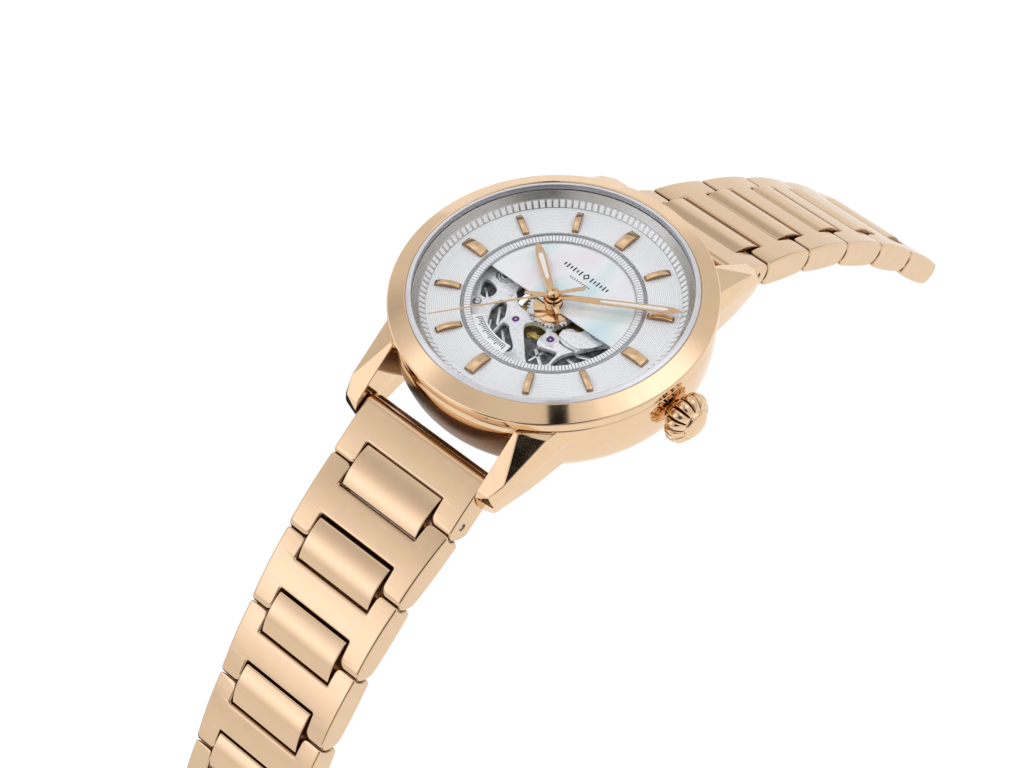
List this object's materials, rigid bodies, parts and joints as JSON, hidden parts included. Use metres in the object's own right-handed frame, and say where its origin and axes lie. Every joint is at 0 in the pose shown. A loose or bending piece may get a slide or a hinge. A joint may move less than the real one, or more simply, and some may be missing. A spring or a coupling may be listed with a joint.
{
  "type": "skeleton wristwatch",
  "caption": "Automatic wristwatch with half-open skeleton dial, faceted lugs, fluted winding knob, three-row H-link bracelet and folding clasp.",
  "frame": {"origin": "centre of the back window's outer flat face, which lies on the wrist", "axes": "+Z out of the dial, +Y towards 12 o'clock, +X towards the winding knob at 3 o'clock"},
  "size_m": [0.0397, 0.1274, 0.0729],
  "materials": {
    "rose_gold_polished": "mirror-polished rose gold plating on steel",
    "rose_gold_satin": "fine satin rose gold plating on steel",
    "steel": "rhodium-plated movement steel",
    "dark_plate": "dark ruthenium-plated",
    "silver_dial": "silvered, fine concentric guilloche",
    "mother_of_pearl": "polished shell",
    "rehaut_grey": "grey satin",
    "mineral_glass": "clear, polished",
    "gilt_brass": "gilt",
    "gasket_rubber": "black seal",
    "movement_holder": "moulded"
  },
  "bodies": {
    "head": {"mid_case": "rose_gold_satin", "bezel": "rose_gold_polished", "crystal": "mineral_glass", "rehaut_ring": "rehaut_grey", "dial": "silver_dial", "pearl_plate": "mother_of_pearl", "chapter_ring": "silver_dial", "hour_indices": "rose_gold_polished", "case_back": "steel", "back_crystal": "mineral_glass", "back_gasket": "gasket_rubber", "movement_ring": "movement_holder", "mainplate": "steel", "train_bridge": "steel", "balance_cock": "steel", "spring_bar_6": "steel", "spring_bar_12": "steel"},
    "seconds_train": {"fourth_wheel": "gilt_brass", "seconds_hand": "rose_gold_polished"},
    "minute_train": {"center_wheel": "gilt_brass", "minute_hand": "rose_gold_polished"},
    "hour_train": {"hour_wheel": "steel", "hour_hand": "rose_gold_polished"},
    "third_wheel": {"third_wheel": "gilt_brass"},
    "escape_wheel": {"escape_wheel": "steel"},
    "barrel": {"barrel": "gilt_brass"},
    "pallet_fork": {"pallet_fork": "steel"},
    "rotor": {"rotor": "dark_plate"},
    "setting_lever": {"setting_lever": "steel"},
    "balance": {"balance_wheel": "gilt_brass", "hairspring": "steel"},
    "crown": {"crown": "rose_gold_polished", "winding_stem": "steel"},
    "end_link_6": {"end_link_6": "rose_gold_satin"},
    "link_6_1": {"h_link_6_1": "rose_gold_satin", "centre_link_6_1": "rose_gold_polished"},
    "link_6_2": {"h_link_6_2": "rose_gold_satin", "centre_link_6_2": "rose_gold_polished"},
    "link_6_3": {"h_link_6_3": "rose_gold_satin", "centre_link_6_3": "rose_gold_polished"},
    "link_6_4": {"h_link_6_4": "rose_gold_satin", "centre_link_6_4": "rose_gold_polished"},
    "link_6_5": {"h_link_6_5": "rose_gold_satin", "centre_link_6_5": "rose_gold_polished"},
    "clasp_cover": {"clasp_cover": "rose_gold_satin"},
    "clasp_blade_long": {"clasp_blade_long": "steel"},
    "clasp_blade_short": {"clasp_blade_short": "steel"},
    "push_button_right": {"push_button_right": "rose_gold_polished"},
    "push_button_left": {"push_button_left": "rose_gold_polished"},
    "end_link_12": {"end_link_12": "rose_gold_satin"},
    "link_12_1": {"h_link_12_1": "rose_gold_satin", "centre_link_12_1": "rose_gold_polished"},
    "link_12_2": {"h_link_12_2": "rose_gold_satin", "centre_link_12_2": "rose_gold_polished"},
    "link_12_3": {"h_link_12_3": "rose_gold_satin", "centre_link_12_3": "rose_gold_polished"},
    "link_12_4": {"h_link_12_4": "rose_gold_satin", "centre_link_12_4": "rose_gold_polished"},
    "link_12_5": {"h_link_12_5": "rose_gold_satin", "centre_link_12_5": "rose_gold_polished"}
  },
  "joints": [
    {"name": "seconds_spin", "type": "hinge", "parent": "head", "child": "seconds_train", "pos_m": [0, 0, 0.0045], "axis": [0, 0, 1], "continuous": true},
    {"name": "minute_spin", "type": "hinge", "parent": "head", "child": "minute_train", "pos_m": [0, 0, 0.0045], "axis": [0, 0, 1], "continuous": true},
    {"name": "hour_spin", "type": "hinge", "parent": "head", "child": "hour_train", "pos_m": [0, 0, 0.0045], "axis": [0, 0, 1], "continuous": true},
    {"name": "third_spin", "type": "hinge", "parent": "head", "child": "third_wheel", "pos_m": [0.00267, -0.00342, 0.0045], "axis": [0, 0, 1], "continuous": true},
    {"name": "escape_spin", "type": "hinge", "parent": "head", "child": "escape_wheel", "pos_m": [-0.0022, -0.0038, 0.0045], "axis": [0, 0, 1], "continuous": true},
    {"name": "barrel_spin", "type": "hinge", "parent": "head", "child": "barrel", "pos_m": [-0.00094, 0.00532, 0.0045], "axis": [0, 0, 1], "continuous": true},
    {"name": "pallet_rock", "type": "hinge", "parent": "head", "child": "pallet_fork", "pos_m": [-0.005, -0.00163, 0.0045], "axis": [0, 0, 1], "range_deg": [-6, 6]},
    {"name": "balance_swing", "type": "hinge", "parent": "head", "child": "balance", "pos_m": [-0.0073, 0.00008, 0.0045], "axis": [0, 0, 1], "range_deg": [-135, 135], "stiffness_Nm_per_rad": 0.0000002},
    {"name": "rotor_spin", "type": "hinge", "parent": "head", "child": "rotor", "pos_m": [0, 0, 0.0045], "axis": [0, 0, 1], "continuous": true},
    {"name": "crown_pull", "type": "slide", "parent": "head", "child": "setting_lever", "axis": [1, 0, 0], "range_m": [0, 0.001]},
    {"name": "crown_turn", "type": "hinge", "parent": "setting_lever", "child": "crown", "pos_m": [0.019, 0, 0.0044], "axis": [1, 0, 0], "continuous": true},
    {"name": "end_link_6_hinge", "type": "hinge", "parent": "head", "child": "end_link_6", "pos_m": [0, -0.02007, 0.00194], "axis": [1, 0, 0], "range_deg": [-15, 28]},
    {"name": "link_6_1_hinge", "type": "hinge", "parent": "end_link_6", "child": "link_6_1", "pos_m": [0, -0.02427, -0.00077], "axis": [1, 0, 0], "range_deg": [-3, 29]},
    {"name": "link_6_2_hinge", "type": "hinge", "parent": "link_6_1", "child": "link_6_2", "pos_m": [0, -0.03207, -0.00584], "axis": [1, 0, 0], "range_deg": [-14, 18]},
    {"name": "link_6_3_hinge", "type": "hinge", "parent": "link_6_2", "child": "link_6_3", "pos_m": [0, -0.03887, -0.01218], "axis": [1, 0, 0], "range_deg": [-11.5, 20.5]},
    {"name": "link_6_4_hinge", "type": "hinge", "parent": "link_6_3", "child": "link_6_4", "pos_m": [0, -0.04479, -0.01935], "axis": [1, 0, 0], "range_deg": [-10.5, 21.5]},
    {"name": "link_6_5_hinge", "type": "hinge", "parent": "link_6_4", "child": "link_6_5", "pos_m": [0, -0.04985, -0.02715], "axis": [1, 0, 0], "range_deg": [-10, 22]},
    {"name": "clasp_cover_hinge", "type": "hinge", "parent": "link_6_5", "child": "clasp_cover", "pos_m": [0, -0.05407, -0.03544], "axis": [1, 0, 0], "range_deg": [-8, 16]},
    {"name": "clasp_fold", "type": "hinge", "parent": "clasp_cover", "child": "clasp_blade_long", "pos_m": [0, -0.06214, -0.05853], "axis": [1, 0, 0], "range_deg": [-160, 0]},
    {"name": "clasp_inner_fold", "type": "hinge", "parent": "clasp_blade_long", "child": "clasp_blade_short", "pos_m": [0, -0.0544, -0.0403], "axis": [1, 0, 0], "range_deg": [0, 160]},
    {"name": "push_button_right_slide", "type": "slide", "parent": "clasp_cover", "child": "push_button_right", "axis": [-1, 0, 0], "range_m": [0, 0.0006], "stiffness_N_per_m": 300},
    {"name": "push_button_left_slide", "type": "slide", "parent": "clasp_cover", "child": "push_button_left", "axis": [1, 0, 0], "range_m": [0, 0.0006], "stiffness_N_per_m": 300},
    {"name": "end_link_12_hinge", "type": "hinge", "parent": "head", "child": "end_link_12", "pos_m": [0, 0.02007, 0.00194], "axis": [1, 0, 0], "range_deg": [-28, 15]},
    {"name": "link_12_1_hinge", "type": "hinge", "parent": "end_link_12", "child": "link_12_1", "pos_m": [0, 0.02427, -0.00077], "axis": [1, 0, 0], "range_deg": [-33, 0.5]},
    {"name": "link_12_2_hinge", "type": "hinge", "parent": "link_12_1", "child": "link_12_2", "pos_m": [0, 0.0324, -0.00528], "axis": [1, 0, 0], "range_deg": [-23.5, 8.5]},
    {"name": "link_12_3_hinge", "type": "hinge", "parent": "link_12_2", "child": "link_12_3", "pos_m": [0, 0.04016, -0.01041], "axis": [1, 0, 0], "range_deg": [-21.5, 10.5]},
    {"name": "link_12_4_hinge", "type": "hinge", "parent": "link_12_3", "child": "link_12_4", "pos_m": [0, 0.04728, -0.01639], "axis": [1, 0, 0], "range_deg": [-22.5, 9.5]},
    {"name": "link_12_5_hinge", "type": "hinge", "parent": "link_12_4", "child": "link_12_5", "pos_m": [0, 0.0538, -0.02302], "axis": [1, 0, 0], "range_deg": [-22.5, 9.5]}
  ],
  "couplings": [
    {"joint": "minute_spin", "follows": "seconds_spin", "ratio": 0.016667},
    {"joint": "hour_spin", "follows": "seconds_spin", "ratio": 0.0013889},
    {"joint": "third_spin", "follows": "seconds_spin", "ratio": -0.13333},
    {"joint": "escape_spin", "follows": "seconds_spin", "ratio": -10},
    {"joint": "barrel_spin", "follows": "seconds_spin", "ratio": -0.0027778},
    {"joint": "clasp_inner_fold", "follows": "clasp_fold", "ratio": -1}
  ]
}
